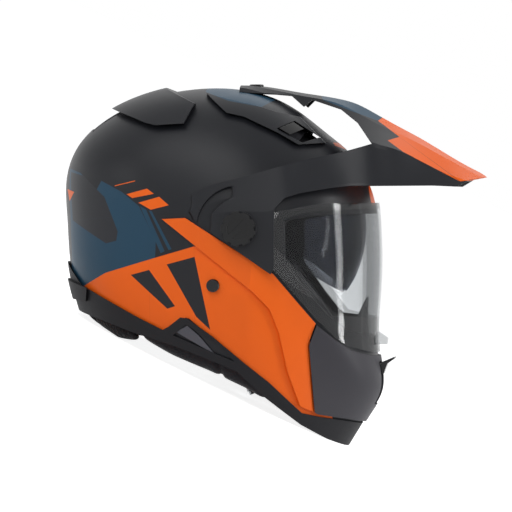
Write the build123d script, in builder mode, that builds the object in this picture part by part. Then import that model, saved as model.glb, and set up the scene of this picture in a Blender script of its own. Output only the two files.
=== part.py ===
from build123d import *
from functools import lru_cache
from math import atan2, cos, degrees, hypot, radians, sin
import os

# A dual sport helmet: full face shell, peak on two side pods and a crown tongue, clear face shield,
# drop-down sun visor. It is drawn as it is worn, with +X to the front, +Y to the wearer's left, +Z up
# and the origin on the shield's pivot axis, and is turned onto its chin and neck roll at the end.

# Overall reaches of the hard shell from the pivot axis, mm
FRONT_REACH = 120.0
REAR_REACH = 166.0
CROWN_HEIGHT = 126.0
CHIN_DROP = 197.0
HALF_WIDTH = 120.0

# Walls and running gaps, mm
SHELL_WALL = 3.5
COVER_WALL = 2.6
TRIM_WALL = 2.0
SEAT_GAP = 0.25
SHIELD_GAP = 1.8
SHIELD_WALL = 2.2
PEAK_WALL = 2.6
VISOR_WALL = 2.0
LINING_GAP = 0.5
FOAM_DEPTH = 29.0
FABRIC_DEPTH = 8.5
OVERRUN = 400.0

# Pivot hardware, mm
POD_INSIDE = 124.2
BASE_RADIUS = 16.0
BASE_THICK = 1.2
BOSS_RADIUS = 9.0
RUN_GAP = 0.3
KNOB_RADIUS = 15.3
KNOB_HEIGHT = 6.6
KNOB_HOLLOW = 1.6
KNOB_SHAFT = 3.0
KNOB_GRIPS = 9
GRIP_RADIUS = 2.3
KNOB_DISH = 9.5
KNOB_BAR_LENGTH = 23.0
KNOB_BAR_WIDTH = 4.6
KNOB_BAR_TURN = 45
BASE_SCREW_RADIUS = 1.8
BASE_SCREW_CIRCLE = 12.6
BASE_SCREW_LENGTH = 4.0
BASE_SCREWS = 3

# The sideways law: at a share t of the half width the mid profile shrinks to (1 - t^SIDE)^(1/round)
SIDE = 2.2
STATION_SHARES = [0.26, 0.5, 0.7, 0.85, 0.94, 0.985]

# Mid profile: shares of the reaches, and the roundness of the section sideways at that point
PROFILE_SHARES = [
    (0.935, 0.143, 2.2), (0.946, 0.0, 2.2), (0.95, -0.254, 2.1), (0.938, -0.497, 1.8),
    (0.958, -0.599, 1.6), (0.967, -0.726, 1.5), (0.883, -0.827, 1.5), (0.733, -0.975, 1.6),
    (0.5, -1.147, 1.9), (0.083, -1.228, 2.4), (-0.271, -1.147, 2.4), (-0.572, -0.924, 2.3),
    (-0.795, -0.635, 2.2), (-0.916, -0.381, 2.2), (-0.976, -0.183, 2.2), (-0.997, 0.079, 2.2),
    (-1.0, 0.357, 2.2), (-0.94, 0.579, 2.2), (-0.777, 0.786, 2.2), (-0.542, 0.929, 2.2),
    (-0.271, 0.994, 2.2), (-0.06, 0.988, 2.2), (0.158, 0.933, 2.2), (0.375, 0.821, 2.2),
    (0.575, 0.671, 2.2), (0.733, 0.544, 2.2), (0.85, 0.381, 2.2),
]


def place(shares):
    """Turns shares of the four reaches into side view points in mm."""
    return [
        (x * (FRONT_REACH if x > 0 else REAR_REACH), z * (CROWN_HEIGHT if z > 0 else CHIN_DROP))
        for x, z in shares
    ]


@lru_cache(maxsize=None)
def form(grow):
    """The helmet's closed body, swollen outward by grow."""
    width = HALF_WIDTH + grow
    spots = place([(x, z) for x, z, _ in PROFILE_SHARES])
    rounds = [roundness for _, _, roundness in PROFILE_SHARES]
    shares = [-t for t in reversed(STATION_SHARES)] + [0] + STATION_SHARES
    with BuildPart() as body:
        for share in shares:
            with BuildSketch(Plane.XZ.offset(-width * share)):
                with BuildLine():
                    points = []
                    for (x, z), roundness in zip(spots, rounds):
                        shrink = (1 - abs(share) ** SIDE) ** (1 / roundness)
                        swell = 1 + grow / hypot(x, z)
                        points.append((x * swell * shrink, z * swell * shrink))
                    Spline(*points, periodic=True)
                make_face()
        loft()
    return body.part


def side_block(shares, near=-OVERRUN, far=OVERRUN, inset=0, corner=0):
    """A prism across the helmet from Y near to Y far, with a side outline in shares drawn in by inset."""
    with BuildPart() as block:
        with BuildSketch(Plane.XZ.offset(-near)) as face:
            with BuildLine():
                Polyline(*place(shares), close=True)
            make_face()
            if corner:
                fillet(face.vertices(), radius=corner)
            if inset:
                offset(amount=-inset, mode=Mode.REPLACE)
        extrude(amount=near - far)
    return block.part


def mirrored(piece):
    """The same piece on the wearer's left."""
    with BuildPart() as twin:
        mirror(piece.part, about=Plane.XZ)
    return twin


def strip(points, wall):
    """The closed outline of a bent strip: a run of points and the same run moved to its right by wall."""
    lines = []
    for (x0, y0), (x1, y1) in zip(points, points[1:]):
        run = hypot(x1 - x0, y1 - y0)
        lines.append(((y1 - y0) / run, -(x1 - x0) / run))
    inner = []
    for i, (x, y) in enumerate(points):
        before = lines[max(i - 1, 0)]
        after = lines[min(i, len(lines) - 1)]
        lean = 1 + before[0] * after[0] + before[1] * after[1]
        inner.append((x + wall * (before[0] + after[0]) / lean, y + wall * (before[1] + after[1]) / lean))
    return list(points) + inner[::-1]


# Hard shell

TRIM_LOW_SHARES = [
    (-1.205, -0.294), (-0.916, -0.376), (-0.78, -0.411), (-0.56, -0.475), (-0.349, -0.528),
    (-0.139, -0.596), (-0.018, -0.64), (0.183, -0.761), (0.425, -0.883), (0.633, -0.962),
    (0.758, -1.0), (1.25, -1.096),
]
BELOW_TRIM_SHARES = TRIM_LOW_SHARES + [(1.25, -2.0), (-1.205, -2.0)]
PORT_SHARES = [
    (0.3, 0.079), (0.5, 0.111), (0.733, 0.127), (1.167, 0.135), (1.167, -0.513), (0.9, -0.508),
    (0.75, -0.472), (0.617, -0.406), (0.483, -0.31), (0.3, -0.162),
]
PORT_CORNER = 8.0
VENT_HOLE_SHARES = [(0.25, 0.702), (0.367, 0.758), (0.55, 0.643), (0.433, 0.603)]
REAR_HOLE_SHARES = [(-0.904, 0.794), (-0.735, 0.913), (-0.675, 0.778), (-0.807, 0.619)]
REAR_HOLE_WIDTH = 64.0
CHIN_HOLE_SHARES = [(0.7, -0.64), (1.3, -0.64), (1.3, -0.78), (0.7, -0.78)]
CHIN_HOLE_WIDTH = 26.0
RIVET_SPOT_SHARE = (-0.141, -0.254)
RIVET_SHANK = 2.5
CROWN_SCREW_SHARE = 0.042
CROWN_SCREW_SHANK = 2.5

# The floor that the helmet rests on touches the neck roll and the chin
NECK_REST_SHARE = (-0.678, -0.496)
CHIN_REST_SHARE = (0.754, -0.995)

RIVET_SPOT = place([RIVET_SPOT_SHARE])[0]
CROWN_SCREW_X = CROWN_SCREW_SHARE * FRONT_REACH
NECK_REST, CHIN_REST = place([NECK_REST_SHARE, CHIN_REST_SHARE])
REST_TILT = degrees(atan2(NECK_REST[1] - CHIN_REST[1], CHIN_REST[0] - NECK_REST[0]))
FLOOR_PLANE = Plane(
    origin=(CHIN_REST[0], 0, CHIN_REST[1]), x_dir=(0, 1, 0),
    z_dir=(-sin(radians(REST_TILT)), 0, -cos(radians(REST_TILT))),
)


def side_rod(spot, radius, near=-OVERRUN, far=OVERRUN):
    """A rod along Y at a side view spot."""
    with BuildPart() as rod:
        with BuildSketch(Plane.XZ.offset(-near)):
            with Locations(spot):
                Circle(radius)
        extrude(amount=near - far)
    return rod.part


def crown_rod(radius, low, high):
    """A rod along Z at the peak's crown screw."""
    with BuildPart() as rod:
        with BuildSketch(Plane.XY.offset(low)):
            with Locations((CROWN_SCREW_X, 0)):
                Circle(radius)
        extrude(amount=high - low)
    return rod.part


def base_screws(radius, near, far):
    """The ring of screws that holds a shield base to the shell."""
    with BuildPart() as ring:
        with BuildSketch(Plane.XZ.offset(-near)):
            with PolarLocations(BASE_SCREW_CIRCLE, BASE_SCREWS, start_angle=90):
                Circle(radius)
        extrude(amount=near - far)
    return ring.part


with BuildPart() as floor:
    with BuildSketch(FLOOR_PLANE):
        Rectangle(2 * OVERRUN, 2 * OVERRUN)
    extrude(amount=OVERRUN)

BELOW_TRIM = side_block(BELOW_TRIM_SHARES)
VENT_HOLE = side_block(VENT_HOLE_SHARES)
REAR_HOLE = side_block(REAR_HOLE_SHARES, -REAR_HOLE_WIDTH / 2, REAR_HOLE_WIDTH / 2)
CHIN_HOLE = side_block(CHIN_HOLE_SHARES, -CHIN_HOLE_WIDTH / 2, CHIN_HOLE_WIDTH / 2)

with BuildPart() as shell:
    add(form(0))
    add(
        [
            form(-SHELL_WALL), BELOW_TRIM, floor.part, side_block(PORT_SHARES, corner=PORT_CORNER),
            VENT_HOLE, REAR_HOLE, CHIN_HOLE, crown_rod(CROWN_SCREW_SHANK + RUN_GAP, 0, OVERRUN),
            side_rod(RIVET_SPOT, RIVET_SHANK + RUN_GAP), side_rod((0, 0), KNOB_SHAFT + RUN_GAP),
            base_screws(BASE_SCREW_RADIUS + RUN_GAP, -OVERRUN, OVERRUN),
        ],
        mode=Mode.SUBTRACT,
    )

# Sun visor, swept about the pivot axis so that it slides along itself into the gap over the foam

VISOR_REACH = 103.5
VISOR_HALF_WIDTH = 109.0
VISOR_LOW = -34.0
VISOR_HIGH = 15.0
VISOR_TRAVEL = 42.0
VISOR_CLEAR = 1.3
VISOR_HUB = 22.5
VISOR_PIN = 3.0
VISOR_PIN_HEAD = 6.0
NOSE_RADIUS = 24.0
NOSE_DROP = 64.0
HUB_SPOT_SHARE = 0.985
HUB_OUT = VISOR_HALF_WIDTH * HUB_SPOT_SHARE
HUB_IN = (VISOR_HALF_WIDTH - VISOR_WALL) * HUB_SPOT_SHARE
WAY_DEPTH = VISOR_WALL + VISOR_CLEAR
WAY_OUT = 60.0


def narrow(share):
    """How far a section of the sun visor has shrunk at a share of its half width."""
    return (1 - abs(share) ** SIDE) ** (1 / SIDE)


def polar_plane(angle):
    """A plane through the pivot axis: first axis raised by angle from the front, second axis +Y."""
    lean = radians(angle)
    return Plane(origin=(0, 0, 0), x_dir=(cos(lean), 0, sin(lean)), z_dir=(-sin(lean), 0, cos(lean)))


def turned_skin(grow, wall, low, high):
    """A skin swept about the pivot axis from low to high degrees, round sideways by the helmet's law."""
    shares = [-t for t in reversed(STATION_SHARES)] + [0] + STATION_SHARES
    with BuildPart() as skin:
        with BuildSketch(polar_plane(low)):
            with BuildLine():
                rims = []
                for swell in (grow, grow - wall):
                    rims.append(
                        [
                            ((VISOR_REACH + swell) * narrow(t), (VISOR_HALF_WIDTH + swell) * t)
                            for t in shares
                        ]
                    )
                Spline(*rims[0])
                Spline(*rims[1])
                Line(rims[0][0], rims[1][0])
                Line(rims[0][-1], rims[1][-1])
            make_face()
        revolve(axis=Axis((0, 0, 0), (0, -1, 0)), revolution_arc=high - low)
    return skin.part


def both_sides(spot, radius, near, far):
    """Two rods along Y, one on each side, between the half widths near and far."""
    return [side_rod(spot, radius, -far, -near), side_rod(spot, radius, near, far)]


VISOR_TOP = VISOR_HIGH + VISOR_TRAVEL
VISOR_WAY = [
    turned_skin(WAY_OUT, WAY_OUT + WAY_DEPTH, VISOR_LOW - VISOR_CLEAR, VISOR_TOP + VISOR_CLEAR),
    *both_sides((0, 0), VISOR_HUB + VISOR_CLEAR, HUB_IN - VISOR_CLEAR - VISOR_WALL, HALF_WIDTH),
]

with BuildPart() as nose:
    with BuildSketch(Plane.YZ):
        with Locations((0, -NOSE_DROP)):
            Circle(NOSE_RADIUS)
    extrude(amount=OVERRUN)

with BuildPart() as sun_visor:
    add(turned_skin(0, VISOR_WALL, VISOR_LOW, VISOR_HIGH))
    add(both_sides((0, 0), VISOR_HUB, HUB_IN, HUB_OUT))
    add([nose.part, *both_sides((0, 0), VISOR_PIN + RUN_GAP, 0, OVERRUN)], mode=Mode.SUBTRACT)

SHELL_IN = (HALF_WIDTH - SHELL_WALL) * HUB_SPOT_SHARE

with BuildPart() as visor_pivots:
    add(both_sides((0, 0), VISOR_PIN, HUB_IN - RUN_GAP, SHELL_IN - SEAT_GAP))
    add(both_sides((0, 0), VISOR_PIN_HEAD, HUB_IN - RUN_GAP - VISOR_WALL / 2, HUB_IN - RUN_GAP))

# Chin strap, drawn in a plane that leans from the rivets forward under the chin

STRAP_WIDTH = 22.0
STRAP_WALL = 1.6
STRAP_GAP = 1.0
CHIN_LEAN_SHARE = (0.08, -0.70)
STRAP_SHARES = [
    (0.911, 0.06), (0.904, -0.1), (0.87, -0.235), (0.75, -0.335), (0.5, -0.425), (0.25, -0.466),
    (0.19, -0.477),
]
ANCHOR_WALL = 1.0
ANCHOR_RADIUS = 8.0
ANCHOR_GAP = 0.2
SHANK_END = 0.6
BAR_RADIUS = 1.6

CHIN_LEAN = place([CHIN_LEAN_SHARE])[0]
STRAP_RUN = hypot(CHIN_LEAN[0] - RIVET_SPOT[0], CHIN_LEAN[1] - RIVET_SPOT[1])
STRAP_PLANE = Plane(
    origin=(RIVET_SPOT[0], 0, RIVET_SPOT[1]), x_dir=(0, 1, 0),
    z_dir=((RIVET_SPOT[1] - CHIN_LEAN[1]) / STRAP_RUN, 0, (CHIN_LEAN[0] - RIVET_SPOT[0]) / STRAP_RUN),
)


def strap_spots():
    """The strap's inner face from the rivet to the buckle."""
    return [(-y * HALF_WIDTH, v * CHIN_DROP) for y, v in STRAP_SHARES]


def ribbon(points, wall, width, swell=0):
    """A strip along points, in the strap's plane, as wide as width and grown by swell."""
    with BuildPart() as band:
        with BuildSketch(STRAP_PLANE):
            with BuildLine():
                Polyline(*strip(points, wall), close=True)
            make_face()
            if swell:
                offset(amount=swell, mode=Mode.REPLACE)
        extrude(amount=width / 2 + swell, both=True)
    return band.part


STRAP_IN = HALF_WIDTH * STRAP_SHARES[0][0]
ANCHOR_IN = STRAP_IN + STRAP_WALL + ANCHOR_GAP
ANCHOR_OUT = ANCHOR_IN + ANCHOR_WALL
STRAP_END = strap_spots()[-1]
STRAP_WAY = [
    ribbon(strap_spots(), STRAP_WALL, STRAP_WIDTH, STRAP_GAP),
    side_rod(RIVET_SPOT, ANCHOR_RADIUS + STRAP_GAP, -OVERRUN, STRAP_GAP - STRAP_IN),
]


def strap_bar(spot, radius, span):
    """A round bar along the strap's width, at a spot of the strap's plane."""
    with BuildPart() as bar:
        with BuildSketch(STRAP_PLANE):
            with Locations(spot):
                Circle(radius)
        extrude(amount=span / 2, both=True)
    return bar.part


def strap_block(left, right, low, high, span, start=0):
    """A block in the strap's plane: its corners there, and its span along the strap's width."""
    with BuildPart() as block:
        with BuildSketch(STRAP_PLANE.offset(start - span / 2)):
            with BuildLine():
                Polyline((left, low), (right, low), (right, high), (left, high), close=True)
            make_face()
        extrude(amount=span)
    return block.part


LOOP_SPOT = (STRAP_END[0], STRAP_END[1] - STRAP_WALL / 2)

with BuildPart() as strap_right:
    add(ribbon(strap_spots(), STRAP_WALL, STRAP_WIDTH))
    add(strap_bar(LOOP_SPOT, BAR_RADIUS + RUN_GAP + STRAP_WALL, STRAP_WIDTH))
    add(
        [
            side_rod(RIVET_SPOT, RIVET_SHANK + RUN_GAP),
            strap_bar(LOOP_SPOT, BAR_RADIUS + RUN_GAP, STRAP_WIDTH * 2),
        ],
        mode=Mode.SUBTRACT,
    )

with BuildPart() as strap_anchor_right:
    add(side_rod(RIVET_SPOT, ANCHOR_RADIUS, -ANCHOR_OUT, -ANCHOR_IN))
    add(side_rod(RIVET_SPOT, RIVET_SHANK + RUN_GAP), mode=Mode.SUBTRACT)

# Linings: polystyrene crown, chin and cheek liners, fabric liner, cheek pads and neck roll

EPS_SHARES = [
    (-1.205, -0.294), (-0.602, -0.396), (-0.289, -0.437), (-0.289, -0.066), (0.25, -0.066),
    (0.317, 0.151), (1.667, 0.183), (1.667, 1.587), (-1.205, 1.587),
]
LINER_SHARES = [
    (-1.205, -0.264), (-0.542, -0.315), (-0.301, -0.051), (0.283, -0.041), (0.375, 0.206),
    (1.667, 0.254), (1.667, 1.587), (-1.205, 1.587),
]
NECK_SHARES = [
    (-1.205, -0.307), (-0.602, -0.409), (-0.56, -0.416), (-0.56, -0.508), (-0.678, -0.498),
    (-0.783, -0.447), (-0.886, -0.396), (-0.994, -0.355), (-1.205, -0.335),
]
CHEEK_SHARES = [
    (-0.545, -0.426), (-0.283, -0.447), (-0.277, -0.076), (0.225, -0.076), (0.283, -0.173),
    (0.467, -0.32), (0.6, -0.416), (0.6, -0.497), (0.408, -0.701), (0.2, -0.761),
    (0.15, -0.766), (0.058, -0.726), (-0.169, -0.64), (-0.38, -0.569), (-0.545, -0.492),
]
CHEEK_ROLL_SHARES = [
    (-0.545, -0.426), (-0.289, -0.457), (-0.12, -0.528), (0.0, -0.574), (0.233, -0.701),
    (0.2, -0.761), (0.15, -0.766), (0.058, -0.726), (-0.169, -0.64), (-0.38, -0.569),
    (-0.545, -0.492),
]
CHEEK_EPS_SHARES = [
    (-0.283, -0.45), (-0.277, -0.076), (0.225, -0.076), (0.283, -0.173), (0.467, -0.32),
    (0.56, -0.43), (0.4, -0.66), (0.25, -0.695), (0.0, -0.565), (-0.12, -0.519),
]
EPS_CHIN_SHARES = [
    (0.633, -0.497), (0.767, -0.561), (1.25, -0.586), (1.25, -0.985), (0.717, -0.944),
    (0.45, -0.853), (0.45, -0.761), (0.65, -0.548),
]
SOFT_GAP = 0.4
CHEEK_FOAM_DEPTH = 16.0
CHEEK_INSIDE = 58.0
CHIN_FOAM_DEPTH = 17.0
ROLL_DEPTH = 16.0
EPS_OUT = SHELL_WALL + LINING_GAP
FABRIC_OUT = EPS_OUT + FOAM_DEPTH + SOFT_GAP
CHEEK_OUT = EPS_OUT + CHEEK_FOAM_DEPTH + SOFT_GAP

with BuildPart() as eps_liner:
    add(side_block(EPS_SHARES))
    add(form(-EPS_OUT), mode=Mode.INTERSECT)
    add([form(-EPS_OUT - FOAM_DEPTH), *VISOR_WAY], mode=Mode.SUBTRACT)

with BuildPart() as comfort_liner:
    add(side_block(LINER_SHARES))
    add(form(-FABRIC_OUT), mode=Mode.INTERSECT)
    add(form(-FABRIC_OUT - FABRIC_DEPTH), mode=Mode.SUBTRACT)

with BuildPart() as neck_roll:
    add(side_block(NECK_SHARES))
    add(form(-SHELL_WALL - SOFT_GAP), mode=Mode.INTERSECT)
    add([form(-SHELL_WALL - SOFT_GAP - ROLL_DEPTH), floor.part], mode=Mode.SUBTRACT)

with BuildPart() as cheek_eps_right:
    add(side_block(CHEEK_EPS_SHARES, far=0))
    add(form(-EPS_OUT), mode=Mode.INTERSECT)
    add([form(-EPS_OUT - CHEEK_FOAM_DEPTH), *VISOR_WAY, *STRAP_WAY], mode=Mode.SUBTRACT)

with BuildPart() as cheek_roll:
    add(side_block(CHEEK_ROLL_SHARES, far=-CHEEK_INSIDE))
    add(form(-SHELL_WALL - SOFT_GAP), mode=Mode.INTERSECT)

with BuildPart() as cheek_pad_right:
    add(side_block(CHEEK_SHARES, far=-CHEEK_INSIDE))
    add(form(-CHEEK_OUT), mode=Mode.INTERSECT)
    add(cheek_roll.part)
    add(STRAP_WAY, mode=Mode.SUBTRACT)

with BuildPart() as eps_chin:
    add(side_block(EPS_CHIN_SHARES))
    add(form(-EPS_OUT), mode=Mode.INTERSECT)
    add([form(-EPS_OUT - CHIN_FOAM_DEPTH), CHIN_HOLE], mode=Mode.SUBTRACT)

cheek_eps_left = mirrored(cheek_eps_right)
cheek_pad_left = mirrored(cheek_pad_right)
strap_left = mirrored(strap_right)
strap_anchor_left = mirrored(strap_anchor_right)

# Eye port gasket: an outer lip on the shell and a skirt through the port's edge

LIP_OUT = 4.0
LIP_WALL = 0.5
SKIRT_WALL = 3.2
SKIRT_DEPTH = 8.0

with BuildPart() as shell_edge:
    add(form(SEAT_GAP))
    add(side_block(PORT_SHARES, corner=PORT_CORNER, inset=SEAT_GAP), mode=Mode.SUBTRACT)

with BuildPart() as eyeport_gasket:
    add(side_block(PORT_SHARES, corner=PORT_CORNER, inset=-LIP_OUT))
    add(form(SEAT_GAP + LIP_WALL), mode=Mode.INTERSECT)
    add(
        [
            form(-SKIRT_DEPTH), shell_edge.part,
            side_block(PORT_SHARES, corner=PORT_CORNER, inset=SEAT_GAP + SKIRT_WALL),
        ],
        mode=Mode.SUBTRACT,
    )

# Outer covers and trim

COVER_SHARES = [
    (-0.416, 0.067), (-0.289, 0.075), (0.246, -0.203), (0.546, -0.426), (0.487, -0.523),
    (0.517, -0.825), (0.425, -0.8), (0.339, -0.64), (0.282, -0.465), (0.217, -0.36),
    (0.1, -0.284), (-0.065, -0.192), (-0.236, -0.076),
]
CHIN_COVER_SHARES = [
    (0.554, -0.434), (0.692, -0.505), (0.792, -0.548), (0.942, -0.579), (1.25, -0.579),
    (1.25, -0.944), (0.765, -0.863), (0.549, -0.837), (0.527, -0.827), (0.497, -0.524),
]
TRIM_TOP_SHARES = [
    (1.25, -0.954), (0.762, -0.873), (0.547, -0.847), (0.433, -0.829), (0.208, -0.69),
    (0.0, -0.586), (-0.151, -0.479), (-0.289, -0.398), (-0.419, -0.454), (-0.554, -0.4),
    (-0.886, -0.256), (-0.982, -0.159), (-1.205, -0.022),
]
RECESS_SHARES = [(-0.289, -0.429), (-0.12, -0.518), (-0.03, -0.594), (-0.169, -0.546), (-0.36, -0.478)]
FLAP_SHARES = [(-0.85, -0.27), (-1.1, -0.2), (-1.1, -0.31), (-0.86, -0.33)]
CHIN_COVER_WALL = 4.2
CHIN_RECESS_SHARES = [(0.8, -0.605), (1.3, -0.605), (1.3, -0.8), (0.8, -0.8)]
CHIN_RECESS_WIDTH = 34.0
FLAP_WALL = 4.5

COVER_OUT = SEAT_GAP + COVER_WALL
CHIN_RECESS = side_block(CHIN_RECESS_SHARES, -CHIN_RECESS_WIDTH / 2, CHIN_RECESS_WIDTH / 2)

with BuildPart() as front_cover_right:
    add(side_block(COVER_SHARES, far=0))
    add(form(COVER_OUT), mode=Mode.INTERSECT)
    add(form(SEAT_GAP), mode=Mode.SUBTRACT)

front_cover_left = mirrored(front_cover_right)

with BuildPart() as flaps:
    add(side_block(FLAP_SHARES))
    add(form(SEAT_GAP + FLAP_WALL), mode=Mode.INTERSECT)

with BuildPart() as base_trim:
    add(side_block(TRIM_LOW_SHARES + TRIM_TOP_SHARES))
    add(form(SEAT_GAP + TRIM_WALL), mode=Mode.INTERSECT)
    add(flaps.part)
    add([form(SEAT_GAP), side_block(RECESS_SHARES), floor.part], mode=Mode.SUBTRACT)

# Chin vent: cover with a recess, a slotted grille in it and a hinged shutter with a finger tab

SHUTTER_PIN_SHARE = (0.975, -0.618)
SHUTTER_SHARES = [
    (0.966, -0.61), (0.99, -0.609), (1.083, -0.585), (1.088, -0.592), (1.03, -0.617),
    (1.002, -0.664), (0.988, -0.664), (0.978, -0.63), (0.966, -0.626),
]
SHUTTER_WIDTH = 24.0
SHUTTER_PIN = 1.2
SHUTTER_REACH = 19.5
GRILLE_WALL = 1.6
GRILLE_SINK = 2.4
GRILLE_COLUMNS = 5
GRILLE_ROWS = 4
SLOT_WIDTH = 3.4
SLOT_HEIGHT = 4.8
SLOT_PITCH = 4.7
SLOT_STEP = 6.4
SHUTTER_SPOT = place([SHUTTER_PIN_SHARE])[0]
CHIN_HOLE_LOW = CHIN_DROP * CHIN_HOLE_SHARES[3][1]
CHIN_HOLE_HIGH = CHIN_DROP * CHIN_HOLE_SHARES[0][1]

with BuildPart() as chin_vent_grille:
    with BuildSketch(Plane.YZ.offset(FRONT_REACH * PROFILE_SHARES[4][0] - GRILLE_SINK)):
        with Locations((0, (CHIN_HOLE_LOW + CHIN_HOLE_HIGH) / 2)):
            Rectangle(CHIN_HOLE_WIDTH - 2 * RUN_GAP, CHIN_HOLE_HIGH - CHIN_HOLE_LOW - 2 * RUN_GAP)
            with GridLocations(SLOT_PITCH, SLOT_STEP, GRILLE_COLUMNS, GRILLE_ROWS):
                Rectangle(SLOT_WIDTH, SLOT_HEIGHT, mode=Mode.SUBTRACT)
    extrude(amount=-GRILLE_WALL)

with BuildPart() as chin_cover:
    add(side_block(CHIN_COVER_SHARES))
    add(form(SEAT_GAP + CHIN_COVER_WALL), mode=Mode.INTERSECT)
    add(
        [
            form(SEAT_GAP), CHIN_RECESS,
            side_rod(SHUTTER_SPOT, SHUTTER_PIN + RUN_GAP, -SHUTTER_REACH - RUN_GAP, SHUTTER_REACH + RUN_GAP),
        ],
        mode=Mode.SUBTRACT,
    )

with BuildPart() as chin_vent_shutter:
    add(side_block(SHUTTER_SHARES, -SHUTTER_WIDTH / 2, SHUTTER_WIDTH / 2))
    add(side_rod(SHUTTER_SPOT, SHUTTER_PIN, -SHUTTER_REACH, SHUTTER_REACH))

# Breath deflector along the port's lower edge

DEFLECTOR_SHARES = [
    (0.5, -0.335), (0.475, -0.283), (0.65, -0.393), (0.821, -0.401), (0.875, -0.315),
    (1.042, -0.315), (1.042, -0.579), (0.767, -0.553), (0.6, -0.467),
]
DEFLECTOR_GAP = 0.6
DEFLECTOR_WALL = 2.2
DEFLECTOR_HOLE = 5.0
DEFLECTOR_SPOT_SHARES = [(0.11, -0.373), (0.14, -0.426), (-0.11, -0.373), (-0.14, -0.426)]
DEFLECTOR_OUT = SKIRT_DEPTH + DEFLECTOR_GAP

with BuildPart() as deflector_holes:
    with BuildSketch(Plane.YZ):
        with Locations(*[(y * HALF_WIDTH, z * CHIN_DROP) for y, z in DEFLECTOR_SPOT_SHARES]):
            Rectangle(DEFLECTOR_HOLE, DEFLECTOR_HOLE)
    extrude(amount=OVERRUN)

with BuildPart() as breath_deflector:
    add(side_block(DEFLECTOR_SHARES))
    add(form(-DEFLECTOR_OUT), mode=Mode.INTERSECT)
    add([form(-DEFLECTOR_OUT - DEFLECTOR_WALL), deflector_holes.part], mode=Mode.SUBTRACT)

# Face shield with its lift tab and the round base plates that it turns on

SHIELD_SHARES = [
    (0.267, 0.115), (0.567, 0.175), (0.75, 0.175), (1.25, 0.19), (1.25, -0.563),
    (0.942, -0.563), (0.778, -0.53), (0.685, -0.489), (0.542, -0.402), (0.261, -0.192),
    (0.05, -0.107), (-0.048, -0.072), (-0.095, -0.025), (-0.096, 0.063), (-0.024, 0.127), (0.117, 0.135),
]
SHIELD_CORNER = 4.0
TAB_SHARES = [(0.96, -0.47), (1.03, -0.5), (1.026, -0.528), (0.96, -0.528)]
TAB_WIDTH = 18.0
BASE_IN = HALF_WIDTH * HUB_SPOT_SHARE + SEAT_GAP
BASE_OUT = BASE_IN + BASE_THICK

with BuildPart() as face_shield:
    add(side_block(SHIELD_SHARES, corner=SHIELD_CORNER))
    add(form(SHIELD_GAP + SHIELD_WALL), mode=Mode.INTERSECT)
    add(side_block(TAB_SHARES, -TAB_WIDTH / 2, TAB_WIDTH / 2))
    add([form(SHIELD_GAP), side_rod((0, 0), BOSS_RADIUS + RUN_GAP)], mode=Mode.SUBTRACT)

with BuildPart() as shield_base_right:
    add(side_rod((0, 0), BASE_RADIUS, -BASE_OUT, -BASE_IN))
    add(side_rod((0, 0), BOSS_RADIUS, RUN_GAP - POD_INSIDE, -BASE_IN))
    add(
        [side_rod((0, 0), KNOB_SHAFT + RUN_GAP), base_screws(BASE_SCREW_RADIUS + RUN_GAP, -OVERRUN, OVERRUN)],
        mode=Mode.SUBTRACT,
    )

with BuildPart() as shield_base_screws:
    add(base_screws(BASE_SCREW_RADIUS, -BASE_OUT, BASE_SCREW_LENGTH - BASE_OUT))
    mirror(about=Plane.XZ)

shield_base_left = mirrored(shield_base_right)

# Peak: a hood of facets from the pods to the tip, open between the arms and the crown tongue

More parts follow.
